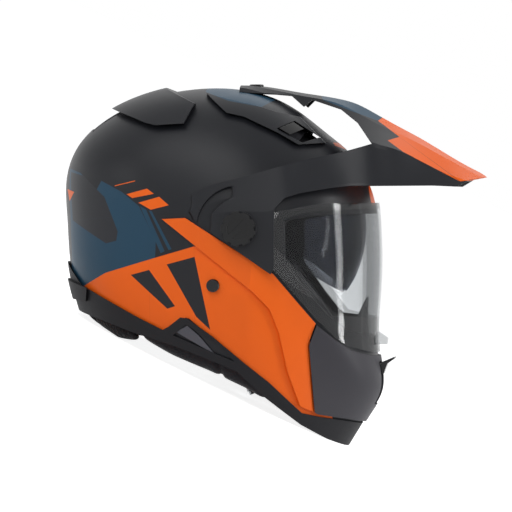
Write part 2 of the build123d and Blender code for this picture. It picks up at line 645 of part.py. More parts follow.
PEAK_OUTLINE_SHARES = [
    (-0.299, 0.21), (-0.292, 0.104), (-0.274, 0.085), (0.233, -0.203), (0.258, -0.173), (0.258, 0.135),
    (0.333, 0.214), (0.433, 0.246), (0.642, 0.282), (0.8, 0.3), (1.342, 0.303), (1.567, 0.294),
    (1.658, 0.343), (1.775, 0.362), (1.775, 1.111), (-0.048, 1.111), (-0.048, 0.964), (0.174, 0.954),
    (0.317, 0.941), (0.414, 0.861), (0.472, 0.911), (0.692, 0.841), (0.821, 0.745), (0.938, 0.597),
    (0.746, 0.54), (0.442, 0.475), (0.033, 0.363), (-0.155, 0.305),
]
PEAK_SECTION_SHARES = [
    (-0.313, [(0, 1.016), (0.25, 1.0), (0.517, 0.873), (0.925, 0.262), (0.967, 0.063), (0.975, -0.234)]),
    (-0.157, [(0, 1.032), (0.25, 1.008), (0.533, 0.889), (0.975, 0.333), (1.021, 0.111), (1.033, -0.234)]),
    (-0.036, [(0, 1.018), (0.117, 1.016), (0.2, 0.998), (0.996, 0.369), (1.046, 0.119), (1.058, -0.234)]),
    (0.117, [(0, 1.008), (0.125, 0.996), (0.208, 0.96), (0.996, 0.413), (1.05, 0.119), (1.058, -0.234)]),
    (0.258, [(0, 0.986), (0.133, 0.968), (0.225, 0.921), (0.979, 0.452), (1.045, 0.127), (1.057, -0.234)]),
    (0.442, [(0, 0.956), (0.142, 0.933), (0.258, 0.825), (0.892, 0.492), (0.958, 0.262), (0.971, 0.159)]),
    (0.642, [(0, 0.925), (0.15, 0.893), (0.317, 0.786), (0.775, 0.532), (0.854, 0.302), (0.863, 0.175)]),
    (0.8, [(0, 0.883), (0.158, 0.825), (0.4, 0.698), (0.625, 0.563), (0.746, 0.317), (0.754, 0.19)]),
    (0.933, [(0, 0.817), (0.167, 0.754), (0.483, 0.611), (0.508, 0.571), (0.633, 0.317), (0.642, 0.206)]),
    (1.083, [(0, 0.737), (0.167, 0.687), (0.475, 0.567), (0.487, 0.54), (0.575, 0.317), (0.583, 0.206)]),
    (1.267, [(0, 0.643), (0.167, 0.603), (0.408, 0.492), (0.421, 0.468), (0.504, 0.317), (0.512, 0.206)]),
    (1.458, [(0, 0.534), (0.158, 0.504), (0.375, 0.397), (0.383, 0.377), (0.446, 0.31), (0.454, 0.222)]),
    (1.658, [(0, 0.425), (0.142, 0.401), (0.342, 0.329), (0.354, 0.313), (0.392, 0.286), (0.4, 0.222)]),
    (1.775, [(0, 0.359), (0.133, 0.341), (0.317, 0.286), (0.329, 0.274), (0.358, 0.25), (0.367, 0.206)]),
]
CROWN_SCREW_HEAD = 6.5
CROWN_SCREW_DOME = 2.2
CROWN_SCREW_LENGTH = 5.2
CROWN_BOSS = 7.5
CROWN_SEAT = 126.9
POD_SEAT = 127.2

with BuildPart() as hood:
    for station, section_shares in PEAK_SECTION_SHARES:
        reach = FRONT_REACH if station > 0 else REAR_REACH
        with BuildSketch(Plane.YZ.offset(station * reach)):
            with BuildLine():
                right = [
                    (-y * HALF_WIDTH, z * (CROWN_HEIGHT if z > 0 else CHIN_DROP)) for y, z in section_shares
                ]
                left = [(-y, z) for y, z in right]
                Polyline(*strip(right[::-1] + left[1:], PEAK_WALL), close=True)
            make_face()
    loft()

with BuildPart() as crown_boss:
    add(crown_rod(CROWN_BOSS, CROWN_HEIGHT / 2, CROWN_SEAT))
    add(form(SEAT_GAP), mode=Mode.SUBTRACT)

EAR_WAY_RADIUS = 38.0
EAR_WAY_GAP = 0.9

with BuildPart() as ear_way:
    add(side_rod((0, 0), EAR_WAY_RADIUS))
    add(form(SHIELD_GAP + SHIELD_WALL + EAR_WAY_GAP), mode=Mode.INTERSECT)

with BuildPart() as peak:
    add(hood.part)
    add(side_block(PEAK_OUTLINE_SHARES), mode=Mode.INTERSECT)
    add(ear_way.part, mode=Mode.SUBTRACT)
    add([crown_boss.part, *both_sides((0, 0), KNOB_RADIUS + RUN_GAP, POD_INSIDE, POD_SEAT)])
    add(
        [
            *both_sides((0, 0), BOSS_RADIUS + RUN_GAP, 0, POD_INSIDE),
            side_rod((0, 0), KNOB_SHAFT + RUN_GAP),
            crown_rod(CROWN_SCREW_HEAD + RUN_GAP, CROWN_SEAT, OVERRUN),
            crown_rod(CROWN_SCREW_SHANK + RUN_GAP, 0, OVERRUN),
            form(SEAT_GAP),
        ],
        mode=Mode.SUBTRACT,
    )

with BuildPart() as peak_top_screw:
    add(crown_rod(CROWN_SCREW_SHANK, CROWN_SEAT - CROWN_SCREW_LENGTH, CROWN_SEAT))
    add(crown_rod(CROWN_SCREW_HEAD, CROWN_SEAT, CROWN_SEAT + CROWN_SCREW_DOME))
    chamfer(peak_top_screw.faces().sort_by(Axis.Z)[-1].edges(), length=CROWN_SCREW_DOME / 3)
    with BuildSketch(Plane.XY.offset(CROWN_SEAT + CROWN_SCREW_DOME)):
        with Locations((CROWN_SCREW_X, 0)):
            RegularPolygon(radius=CROWN_SCREW_SHANK, side_count=6)
    extrude(amount=-CROWN_SCREW_DOME / 2, mode=Mode.SUBTRACT)

# Peak thumb knobs at the pivots

KNOB_FOOT = POD_SEAT + RUN_GAP

with BuildPart() as peak_knob_right:
    with BuildSketch(Plane.XZ.offset(KNOB_FOOT)):
        Circle(KNOB_RADIUS)
        with PolarLocations(KNOB_RADIUS + GRIP_RADIUS / 3, KNOB_GRIPS):
            Circle(GRIP_RADIUS, mode=Mode.SUBTRACT)
    extrude(amount=KNOB_HEIGHT)
    with BuildSketch(Plane.XZ.offset(KNOB_FOOT + KNOB_HEIGHT)):
        Circle(KNOB_DISH)
        Rectangle(KNOB_BAR_LENGTH, KNOB_BAR_WIDTH, rotation=KNOB_BAR_TURN, mode=Mode.SUBTRACT)
    extrude(amount=-KNOB_HOLLOW, mode=Mode.SUBTRACT)
    add(side_rod((0, 0), KNOB_SHAFT, -KNOB_FOOT, SEAT_GAP - BASE_IN + SHELL_WALL))

peak_knob_left = mirrored(peak_knob_right)

# Crown vents with sliders, rear spoiler with its grille

VENT_COVER_SHARES = [
    (-0.217, 0.96), (-0.175, 0.91), (-0.09, 0.814), (0.008, 0.786), (0.263, 0.671), (0.408, 0.59),
    (0.592, 0.603), (0.392, 0.79), (0.225, 0.825), (0.083, 0.869), (-0.084, 0.913),
]
VENT_SLIDE_SHARES = [(0.262, 0.706), (0.363, 0.752), (0.442, 0.701), (0.348, 0.658)]
SPOILER_SHARES = [
    (-0.771, 0.865), (-0.59, 0.778), (-0.53, 0.746), (-0.47, 0.726), (-0.313, 0.738), (-0.265, 0.881),
    (-0.536, 1.05),
]
VENT_COVER_WALL = 3.2
VENT_SLIDE_TOP = 4.6
VENT_SLIDE_LOW = 1.0
SPOILER_WALL = 5.5
REAR_GRILLE_SINK = 0.8
REAR_SLOTS = 6
REAR_SLOT_SHARE = 0.79
REAR_SLOT_WIDTH = 6.0
REAR_SLOT_HEIGHT = 9.0

with BuildPart() as top_vent_right:
    add(side_block(VENT_COVER_SHARES, far=0))
    add(form(SEAT_GAP + VENT_COVER_WALL), mode=Mode.INTERSECT)
    add([form(SEAT_GAP), VENT_HOLE], mode=Mode.SUBTRACT)

with BuildPart() as top_vent_slider_right:
    add(side_block(VENT_SLIDE_SHARES, far=0, inset=RUN_GAP))
    add(form(VENT_SLIDE_TOP), mode=Mode.INTERSECT)
    add(form(VENT_SLIDE_LOW), mode=Mode.SUBTRACT)

top_vent_left = mirrored(top_vent_right)
top_vent_slider_left = mirrored(top_vent_slider_right)

with BuildPart() as spoiler:
    add(side_block(SPOILER_SHARES))
    add(form(SEAT_GAP + SPOILER_WALL), mode=Mode.INTERSECT)
    add(form(SEAT_GAP), mode=Mode.SUBTRACT)

with BuildPart() as rear_slots:
    with BuildSketch(Plane.YZ):
        with Locations((0, CROWN_HEIGHT * REAR_SLOT_SHARE)):
            with GridLocations(REAR_HOLE_WIDTH / REAR_SLOTS, 0, REAR_SLOTS, 1):
                Rectangle(REAR_SLOT_WIDTH, REAR_SLOT_HEIGHT)
    extrude(amount=-OVERRUN)

with BuildPart() as rear_vent_grille:
    add(side_block(REAR_HOLE_SHARES, RUN_GAP - REAR_HOLE_WIDTH / 2, REAR_HOLE_WIDTH / 2 - RUN_GAP, RUN_GAP))
    add(form(-REAR_GRILLE_SINK), mode=Mode.INTERSECT)
    add([form(-REAR_GRILLE_SINK - GRILLE_WALL), rear_slots.part], mode=Mode.SUBTRACT)

# Strap rivets: a domed cap outside, a shank through the shell into the anchor

RIVET_HEAD = 5.75
RIVET_DOME = 2.4

RIVET_SEAT = HALF_WIDTH * HUB_SPOT_SHARE + SEAT_GAP

with BuildPart() as strap_rivet_right:
    add(side_rod(RIVET_SPOT, RIVET_HEAD, -RIVET_SEAT - RIVET_DOME, -RIVET_SEAT))
    chamfer(strap_rivet_right.faces().sort_by(Axis.Y)[0].edges(), length=RIVET_DOME / 3)
    add(side_rod(RIVET_SPOT, RIVET_SHANK, -RIVET_SEAT, SHANK_END - STRAP_IN))

strap_rivet_left = mirrored(strap_rivet_right)

# Sun visor lever on the wearer's left, in the trim's recess

LEVER_SPOT_SHARES = [(-0.121, -0.528), (-0.18, -0.503), (-0.192, -0.523), (-0.133, -0.548)]
LEVER_LIFT = 0.6
LEVER_HEIGHT = 4.6

with BuildPart() as visor_lever:
    add(side_block(LEVER_SPOT_SHARES, near=0, inset=RUN_GAP))
    add(form(LEVER_HEIGHT), mode=Mode.INTERSECT)
    add(form(LEVER_LIFT), mode=Mode.SUBTRACT)

# Chin strap buckle: channel body, toothed tongue and a lever that lets it go, all in the strap's plane

BUCKLE_WIDTH = 26.0
BUCKLE_WALL = 1.4
BODY_END = 37.0
BODY_TOP = 5.0
BODY_BACK = 2.5
WALL_DROP = 3.6
EAR_HALF = 3.6
TONGUE_WIDTH = 18.0
TONGUE_WALL = 1.8
TONGUE_REACH = 9.0
TONGUE_NECK = 4.0
TONGUE_TEETH = 7
TOOTH_PITCH = 3.0
TOOTH_HEIGHT = 1.0
PIN_ALONG = 12.5
PIN_DROP = 4.6
PIN_RADIUS = 1.4
PIN_CLEAR = 0.08
LEVER_HUB = 2.5
LEVER_WALL = 1.6
LEVER_LENGTH = 27.0

LEFT, LEVEL = LOOP_SPOT
RIGHT = -LEFT
INSIDE_SPAN = BUCKLE_WIDTH - 2 * BUCKLE_WALL - 2 * RUN_GAP
LEVER_PIN = (LEFT + PIN_ALONG, LEVEL - PIN_DROP)
LEVER_TOP = LEVER_PIN[1] - PIN_RADIUS / 2

BODY_LEFT = LEFT - BODY_BACK
BODY_RIGHT = LEFT + BODY_END
BODY_ROOF = LEVEL + BODY_TOP
EAR_LEFT = LEVER_PIN[0] - EAR_HALF
EAR_RIGHT = LEVER_PIN[0] + EAR_HALF
SIDE_MIDDLE = (BUCKLE_WIDTH - BUCKLE_WALL) / 2

with BuildPart() as buckle_body:
    add(strap_block(BODY_LEFT, BODY_RIGHT, BODY_ROOF - BUCKLE_WALL, BODY_ROOF, BUCKLE_WIDTH))
    for middle in (-SIDE_MIDDLE, SIDE_MIDDLE):
        add(strap_block(BODY_LEFT, BODY_RIGHT, LEVEL - WALL_DROP, BODY_ROOF, BUCKLE_WALL, middle))
        add(strap_block(EAR_LEFT, EAR_RIGHT, LEVER_PIN[1] - LEVER_HUB, LEVEL, BUCKLE_WALL, middle))
    add([strap_bar(LOOP_SPOT, BAR_RADIUS, BUCKLE_WIDTH), strap_bar(LEVER_PIN, PIN_RADIUS, BUCKLE_WIDTH)])

TONGUE_LOW = LEVEL - TONGUE_WALL / 2
TONGUE_HIGH = LEVEL + TONGUE_WALL / 2
NECK = RIGHT - BAR_RADIUS - 2 * RUN_GAP - STRAP_WALL
SHOULDER = NECK - TONGUE_NECK + RUN_GAP

with BuildPart() as buckle_tongue:
    add(strap_block(LEFT + TONGUE_REACH, NECK, TONGUE_LOW, TONGUE_HIGH, TONGUE_WIDTH))
    add(strap_block(SHOULDER, NECK, TONGUE_LOW, TONGUE_HIGH, BUCKLE_WIDTH))
    for middle in (-SIDE_MIDDLE, SIDE_MIDDLE):
        add(strap_block(SHOULDER, RIGHT + BAR_RADIUS, TONGUE_LOW, TONGUE_HIGH, BUCKLE_WALL, middle))
    add(strap_bar((RIGHT, LEVEL), BAR_RADIUS, BUCKLE_WIDTH))
    for tooth in range(TONGUE_TEETH):
        start = LEVER_PIN[0] + TOOTH_PITCH * (tooth + 1)
        add(strap_block(start, start + TOOTH_PITCH / 2, TONGUE_LOW - TOOTH_HEIGHT, LEVEL, TONGUE_WIDTH))

LEVER_START = EAR_RIGHT + 3 * RUN_GAP
LEVER_END = LEVER_PIN[0] + LEVER_LENGTH

with BuildPart() as buckle_lever:
    add(strap_bar(LEVER_PIN, LEVER_HUB, INSIDE_SPAN))
    add(strap_block(LEVER_PIN[0], LEVER_END, LEVER_TOP - LEVER_WALL, LEVER_TOP, INSIDE_SPAN))
    add(strap_block(LEVER_START, LEVER_END, LEVER_TOP - LEVER_WALL, LEVER_TOP, BUCKLE_WIDTH))
    add(strap_bar(LEVER_PIN, PIN_RADIUS + PIN_CLEAR, BUCKLE_WIDTH), mode=Mode.SUBTRACT)

# Every piece is turned onto its chin and neck roll, centred over the floor and written

PIECES = {
    "shell": shell, "eps_liner": eps_liner, "eps_chin": eps_chin,
    "cheek_eps_right": cheek_eps_right, "cheek_eps_left": cheek_eps_left, "comfort_liner": comfort_liner,
    "cheek_pad_right": cheek_pad_right, "cheek_pad_left": cheek_pad_left, "neck_roll": neck_roll,
    "base_trim": base_trim, "front_cover_right": front_cover_right, "front_cover_left": front_cover_left,
    "chin_cover": chin_cover, "chin_vent_grille": chin_vent_grille, "chin_vent_shutter": chin_vent_shutter,
    "breath_deflector": breath_deflector, "eyeport_gasket": eyeport_gasket, "spoiler": spoiler,
    "rear_vent_grille": rear_vent_grille, "top_vent_right": top_vent_right, "top_vent_left": top_vent_left,
    "top_vent_slider_right": top_vent_slider_right, "top_vent_slider_left": top_vent_slider_left,
    "shield_base_right": shield_base_right, "shield_base_left": shield_base_left,
    "shield_base_screws": shield_base_screws, "face_shield": face_shield, "sun_visor": sun_visor,
    "visor_pivots": visor_pivots, "visor_lever": visor_lever, "peak": peak, "peak_top_screw": peak_top_screw,
    "peak_knob_right": peak_knob_right, "peak_knob_left": peak_knob_left,
    "strap_right": strap_right, "strap_left": strap_left, "strap_anchor_right": strap_anchor_right,
    "strap_anchor_left": strap_anchor_left, "strap_rivet_right": strap_rivet_right,
    "strap_rivet_left": strap_rivet_left, "buckle_body": buckle_body, "buckle_tongue": buckle_tongue,
    "buckle_lever": buckle_lever,
}

turned = {name: Rot(0, -REST_TILT, 0) * piece.part for name, piece in PIECES.items()}
spans = [point.X for name in ("shell", "peak") for point in turned[name].tessellate(SEAT_GAP)[0]]
middle = (min(spans) + max(spans)) / 2
ground = CHIN_REST[0] * sin(radians(REST_TILT)) + CHIN_REST[1] * cos(radians(REST_TILT))

os.makedirs("parts", exist_ok=True)
for name, solid in turned.items():
    resting = Pos(-middle, 0, -ground) * solid
    resting.label = name
    export_step(resting, f"parts/{name}.step")

print(f"tilt {REST_TILT:.4f} middle {middle:.4f} ground {ground:.4f}")
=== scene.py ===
import math

import bmesh
import bpy
from mathutils import Matrix, Vector
from mathutils.bvhtree import BVHTree


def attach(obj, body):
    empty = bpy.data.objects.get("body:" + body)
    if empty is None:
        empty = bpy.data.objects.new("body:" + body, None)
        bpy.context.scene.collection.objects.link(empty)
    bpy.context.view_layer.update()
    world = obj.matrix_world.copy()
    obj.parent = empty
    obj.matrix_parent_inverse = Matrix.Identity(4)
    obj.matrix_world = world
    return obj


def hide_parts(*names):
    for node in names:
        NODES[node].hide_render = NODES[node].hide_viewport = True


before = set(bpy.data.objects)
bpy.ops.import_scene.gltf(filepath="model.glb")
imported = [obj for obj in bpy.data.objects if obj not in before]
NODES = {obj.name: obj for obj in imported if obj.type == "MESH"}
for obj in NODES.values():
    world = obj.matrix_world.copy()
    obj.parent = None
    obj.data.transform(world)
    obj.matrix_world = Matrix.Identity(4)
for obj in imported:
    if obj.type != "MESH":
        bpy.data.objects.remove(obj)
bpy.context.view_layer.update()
scene = bpy.context.scene

# ---- places: the helmet is drawn as it is worn, and rests turned forward and moved over the floor

# The turn at rest, and the turned helmet's middle and lowest place in mm
TILT = math.radians(25.8355)
MIDDLE = -0.5539
GROUND = -136.9928

# The photograph's scale, and where the worn origin falls in it: mid-plane, crown and near side
MM_PER_PIXEL = 0.9
MID_X, CROWN_X, NEAR_X = 251.0, 246.0, 240.2
LEVEL_Y = 228.0
PHOTO = 512


def tilted(x, y, z):
    """A worn direction or place, turned as the helmet rests."""
    return Vector((x * math.cos(TILT) - z * math.sin(TILT), y, x * math.sin(TILT) + z * math.cos(TILT)))


def rest(x, y, z):
    """A worn place in mm, as a place in the frame in metres."""
    return (tilted(x, y, z) - Vector((MIDDLE, 0, GROUND))) / 1000


def side(spots, zero=NEAR_X):
    """Side view spots of the photograph, as places (x, z) in the frame."""
    places = [rest((u - zero) * MM_PER_PIXEL, 0, (LEVEL_Y - v) * MM_PER_PIXEL) for u, v in spots]
    return [(place.x, place.z) for place in places]


def sides(groups, zero=NEAR_X):
    return [side(group, zero) for group in groups]


def round_pairs(spots):
    """Each spot of an outline with the next one, and the last with the first."""
    return zip(spots, spots[1:] + spots[:1])


# ---- camera and lamps

AZIMUTH, ELEVATION = math.radians(4.9), math.radians(0.6)
LENS, SENSOR = 400, 36

turn = Matrix.Rotation(-TILT, 3, "Y")
level = math.cos(ELEVATION)
back = Vector((math.sin(AZIMUTH) * level, -math.cos(AZIMUTH) * level, math.sin(ELEVATION)))
right = Vector((math.cos(AZIMUTH), math.sin(AZIMUTH), 0))
up = back.cross(right)
back, right, up = turn @ back, turn @ right, turn @ up
target = rest((PHOTO / 2 - MID_X) * MM_PER_PIXEL, 0, (LEVEL_Y - PHOTO / 2) * MM_PER_PIXEL)
distance = PHOTO * MM_PER_PIXEL / 1000 * LENS / SENSOR

cam_data = bpy.data.cameras.new("camera")
cam_data.lens = LENS
cam_data.sensor_width = SENSOR
cam_data.clip_start, cam_data.clip_end = 0.1, 50
cam = bpy.data.objects.new("camera", cam_data)
cam.matrix_world = Matrix.Translation(target + back * distance) @ Matrix((right, up, back)).transposed().to_4x4()
scene.collection.objects.link(cam)
scene.camera = cam
scene.view_settings.view_transform = "Standard"

# Each lamp's offset from the helmet along the photograph's right, up and toward the camera, size and power
LAMPS = {
    "key": ((-0.6, 1.6, 1.1), (1.3, 0.9), 13),
    "strip_front": ((2.0, 0.15, 0.3), (0.26, 1.9), 26),
    "fill_rear": ((-1.7, 0.5, 0.7), (0.5, 1.2), 6),
    "side_soft": ((0.1, 1.05, 2.3), (1.8, 0.8), 15),
    "rim": ((0.3, 1.3, -1.5), (1.6, 0.7), 3),
}
for name, ((across, above, toward), size, power) in LAMPS.items():
    lamp = bpy.data.lights.new(name, "AREA")
    lamp.shape = "RECTANGLE"
    lamp.size, lamp.size_y = size
    lamp.energy = power
    obj = bpy.data.objects.new(name, lamp)
    obj.visible_camera = False
    obj.visible_transmission = False
    obj.location = target + right * across + up * above + back * toward
    obj.rotation_mode = "QUATERNION"
    obj.rotation_quaternion = (obj.location - target).to_track_quat("Z", "Y")
    scene.collection.objects.link(obj)

# ---- shader nodes


def put(nt, kind, values=(), links=(), operation=None):
    """A shader node, its inputs set from values and fed from links, both by name or number."""
    made = nt.nodes.new("ShaderNode" + kind)
    if operation:
        made.operation = operation
    for socket, value in dict(values).items():
        made.inputs[socket].default_value = value
    for socket, source in dict(links).items():
        nt.links.new(source, made.inputs[socket])
    return made


def empty_material(name):
    mat = bpy.data.materials.new(name)
    mat.use_nodes = True
    mat.node_tree.nodes.clear()
    return mat, mat.node_tree


def white_rays(nt):
    """1 for rays that see the background: straight, mirrored or through glass."""
    path = put(nt, "LightPath")
    seen = path.outputs["Is Camera Ray"]
    for kind in ("Is Glossy Ray", "Is Transmission Ray"):
        seen = put(nt, "Math", links={0: seen, 1: path.outputs[kind]}, operation="MAXIMUM").outputs[0]
    return seen


def noise(nt, where, scale, detail):
    return put(nt, "TexNoise", {"Scale": scale, "Detail": detail}, {"Vector": where}).outputs["Fac"]


def spread(nt, source, low, high, start=0.3, end=0.7):
    """A noise's middle range, stretched from low to high."""
    values = {"From Min": start, "From Max": end, "To Min": low, "To Max": high}
    return put(nt, "MapRange", values, {"Value": source}).outputs["Result"]


# ---- world and floor

WORLD_COLOUR = (0.75, 0.77, 0.8, 1)
WORLD_STRENGTH = 0.28
WHITE = (1, 1, 1, 1)
FLOOR_COLOUR = (0.82, 0.82, 0.82, 1)
FLOOR_GLOW = 0.86
FLOOR_HALF = 12
FLOOR_DROP = 0.0005

world = bpy.data.worlds.new("studio")
scene.world = world
world.use_nodes = True
nt = world.node_tree
nt.nodes.clear()
plain = put(nt, "Background", {"Color": WORLD_COLOUR, "Strength": WORLD_STRENGTH})
white = put(nt, "Background", {"Color": WHITE})
mix = put(nt, "MixShader", links={0: white_rays(nt), 1: plain.outputs[0], 2: white.outputs[0]})
put(nt, "OutputWorld", links={0: mix.outputs[0]})

mat, nt = empty_material("floor_white")
diffuse = put(nt, "BsdfDiffuse", {"Color": FLOOR_COLOUR})
strength = put(nt, "Math", {1: FLOOR_GLOW}, {0: white_rays(nt)}, "MULTIPLY")
glow = put(nt, "Emission", {"Color": WHITE}, {"Strength": strength.outputs[0]})
joined = put(nt, "AddShader", links={0: diffuse.outputs[0], 1: glow.outputs[0]})
put(nt, "OutputMaterial", links={0: joined.outputs[0]})

floor_mesh = bpy.data.meshes.new("floor")
bm = bmesh.new()
bmesh.ops.create_grid(bm, x_segments=4, y_segments=4, size=FLOOR_HALF)
bm.to_mesh(floor_mesh)
bm.free()
floor_mesh.materials.append(mat)
floor = bpy.data.objects.new("floor", floor_mesh)
floor.location.z = -FLOOR_DROP
scene.collection.objects.link(floor)

# ---- materials


def linear(*rgb):
    """An sRGB colour of 0 to 255, as a linear colour with full opacity."""
    shares = [value / 255 for value in rgb]
    return tuple(s / 12.92 if s <= 0.04045 else ((s + 0.055) / 1.055) ** 2.4 for s in shares) + (1,)


BLACK = linear(25, 26, 30)
PANEL = linear(36, 37, 41)
GREY = linear(52, 51, 56)
TEAL = linear(28, 60, 80)
ORANGE = linear(232, 98, 22)
MASK_BLUR = 0.00012
RIM_BLUR = 0.0004


def polygon(nt, where, spots, blur=MASK_BLUR):
    """A mask that is 1 inside a convex outline of places (x, z), the same on both sides of the helmet."""
    if sum(x0 * z1 - x1 * z0 for (x0, z0), (x1, z1) in round_pairs(spots)) < 0:
        spots = spots[::-1]
    least = None
    for (x0, z0), (x1, z1) in round_pairs(spots):
        run = math.hypot(x1 - x0, z1 - z0)
        nx, nz = -(z1 - z0) / run, (x1 - x0) / run
        dot = put(nt, "VectorMath", {1: (nx, 0, nz)}, {0: where}, "DOT_PRODUCT").outputs["Value"]
        depth = put(nt, "Math", {1: nx * x0 + nz * z0}, {0: dot}, "SUBTRACT").outputs[0]
        least = depth if least is None else put(nt, "Math", (), {0: least, 1: depth}, "MINIMUM").outputs[0]
    return put(nt, "MapRange", {"From Min": -blur, "From Max": blur}, {"Value": least}).outputs["Result"]


# Scale and detail of the broad mottling of tone and gloss, and how far gloss strays
MOTTLE = (18.0, 5.0)
GLOSS_STRAY = 0.04
BUMP_DETAIL = 3.0
ROUND_SAMPLES = 4
WEAVE_DISTORTION = 0.6
WEAVE_DETAIL = 40.0


def surface(name, colour, rough, bump=None, vary=0.06, specular=0.4, metal=0.0, rounding=0.0, masks=(),
            cells=None, weave=None, sheen=0.0):
    """
    A moulded, painted, woven or foamed surface. Masks are (colour, outlines), painted over it in turn; bump,
    cells and weave are (scale, strength, depth) of its fine grain, its beads or loops, and its crossed threads.
    """
    mat, nt = empty_material(name)
    where = put(nt, "TexCoord").outputs["Object"]
    broad = noise(nt, where, *MOTTLE)
    shade = None
    for mask_colour, outlines in masks:
        for outline in outlines:
            values, links = {2: mask_colour}, {0: polygon(nt, where, outline)}
            if shade is None:
                values[1] = colour
            else:
                links[1] = shade
            shade = put(nt, "MixRGB", values, links).outputs[0]
    tone = {"Scale": spread(nt, broad, 1 - vary, 1 + vary)}
    if shade is None:
        tint = put(nt, "VectorMath", {0: colour[:3]}, tone, "SCALE")
    else:
        tint = put(nt, "VectorMath", (), {0: shade, **tone}, "SCALE")
    gloss = spread(nt, broad, rough - GLOSS_STRAY, rough + GLOSS_STRAY)
    normal = None
    if rounding:
        bevel = put(nt, "Bevel", {"Radius": rounding})
        bevel.samples = ROUND_SAMPLES
        normal = bevel.outputs[0]
    heights = []
    if bump:
        heights.append((noise(nt, where, bump[0], BUMP_DETAIL), bump))
    if cells:
        voronoi = put(nt, "TexVoronoi", {"Scale": cells[0]}, {"Vector": where})
        heights.append((voronoi.outputs["Distance"], cells))
    if weave:
        threads = []
        for axis in ("X", "Z"):
            values = {"Scale": weave[0], "Distortion": WEAVE_DISTORTION, "Detail Scale": WEAVE_DETAIL}
            wave = put(nt, "TexWave", values, {"Vector": where})
            wave.bands_direction = axis
            threads.append(wave.outputs["Fac"])
        cross = put(nt, "Math", (), {0: threads[0], 1: threads[1]}, "MULTIPLY")
        heights.append((cross.outputs[0], weave))
    for height, (_, strength, depth) in heights:
        links = {"Height": height}
        if normal is not None:
            links["Normal"] = normal
        normal = put(nt, "Bump", {"Strength": strength, "Distance": depth}, links).outputs[0]
    values = {"Specular IOR Level": specular, "Metallic": metal, "Sheen Weight": sheen}
    links = {"Base Color": tint.outputs[0], "Roughness": gloss}
    if normal is not None:
        links["Normal"] = normal
    bsdf = put(nt, "BsdfPrincipled", values, links)
    put(nt, "OutputMaterial", links={0: bsdf.outputs[0]})
    return mat


SCREEN_COLOUR = (0.02, 0.02, 0.022, 1)
SCREEN_SPECULAR = 0.9
SCREEN_ROUGH = (0.02, 0.07)
SCREEN_HAZE = 60.0
SCREEN_BLEND = 0.12
SCREEN_EDGE = 0.4


def clear(name, tint, gloss_share, port=None, rim_share=0.0):
    """A thin clear or tinted screen that mirrors a share of the light, more toward its edges and past its port."""
    mat, nt = empty_material(name)
    where = put(nt, "TexCoord").outputs["Object"]
    haze = put(nt, "TexNoise", {"Scale": SCREEN_HAZE}, {"Vector": where}).outputs["Fac"]
    rough = spread(nt, haze, *SCREEN_ROUGH, start=0.0, end=1.0)
    values = {"Base Color": SCREEN_COLOUR, "Specular IOR Level": SCREEN_SPECULAR}
    bsdf = put(nt, "BsdfPrincipled", values, {"Roughness": rough})
    through = put(nt, "BsdfTransparent", {"Color": tint})
    edge = put(nt, "LayerWeight", {"Blend": SCREEN_BLEND}).outputs["Fresnel"]
    share = put(nt, "Math", {1: SCREEN_EDGE, 2: gloss_share}, {0: edge}, "MULTIPLY_ADD").outputs[0]
    if port:
        inside = polygon(nt, where, port, blur=RIM_BLUR)
        rim = put(nt, "Math", {0: 1.0}, {1: inside}, "SUBTRACT").outputs[0]
        most = put(nt, "Math", {1: rim_share}, {0: rim, 2: share}, "MULTIPLY_ADD")
        most.use_clamp = True
        share = most.outputs[0]
    mix = put(nt, "MixShader", links={0: share, 1: through.outputs[0], 2: bsdf.outputs[0]})
    put(nt, "OutputMaterial", links={0: mix.outputs[0]})
    return mat


# Convex side view outlines of the paint, as places in the photograph
TEAL_REAR = [
    [(62, 160), (76, 173), (100, 181), (104, 242), (66, 300)],
    [(100, 181), (122, 192), (140, 206), (157, 240), (156, 262), (100, 285)],
    [(100, 181), (104, 242), (100, 285), (60, 300), (66, 240)],
]
TEAL_STRIPES = [
    [(141, 206), (147, 209), (166, 250), (162, 252)],
    [(150, 210), (153, 211), (173, 248), (170, 249)],
]
REAR_PANEL = [
    [(64, 172), (80, 176), (103.6, 197), (112, 217), (66.8, 220)],
    [(66.8, 220), (112, 217), (117.7, 231), (116, 240), (105, 242.7)],
]
ORANGE_SIDE = [
    [(78, 286), (84, 282.5), (104, 271.8), (150, 258.4), (150, 345), (78, 310)],
    [(150, 258.4), (195.5, 245.3), (195.5, 360), (150, 345)],
    [(195.5, 245.3), (206, 246), (300, 310), (330, 430), (195.5, 360)],
]
SIDE_BARS = [
    [(131, 273.5), (150, 268.5), (176, 304), (168, 306.5)],
    [(168, 263), (196, 255.5), (211, 327), (197, 314)],
]
RECESS = [[(164, 328), (181, 315), (190, 316), (240, 357), (236, 367), (190, 347)]]
DASHES = [
    [(127, 194.2), (148, 188.8), (155, 193.8), (133, 198)],
    [(139.5, 202.5), (160.5, 196.8), (170.2, 205), (152, 209.5)],
    [(114.5, 185.6), (135.5, 180.8), (135.5, 181.6), (114.5, 186.4)],
    [(60, 189), (69, 192), (63, 201)],
]
CROWN_TEAL = [
    [(204, 80), (204, 92.5), (230, 102), (262, 108), (300, 80)],
    [(262, 108), (292, 117), (307, 122), (330, 143.5), (352, 152), (352, 100), (300, 80)],
]
CROWN_ARROW = [[(330.5, 143), (333, 146), (360, 157), (352, 148), (345, 142)]]
BROW_BAND = [[(361, 170), (374, 170), (379, 206), (369, 206)]]
PEAK_TEAL = [
    [(310, 88), (320, 100.5), (347, 111), (375, 121.5), (388, 126), (392, 105), (340, 80)],
]
PEAK_ORANGE = [
    [(374, 121.2), (392, 105), (500, 160), (486, 179), (468.5, 180.5), (457, 181.5), (396.4, 137.3)],
    [(396, 137), (412.5, 158.2), (457.5, 181.6)],
    [(386, 141), (396.4, 137.3), (413, 158.2), (402, 152.5)],
]
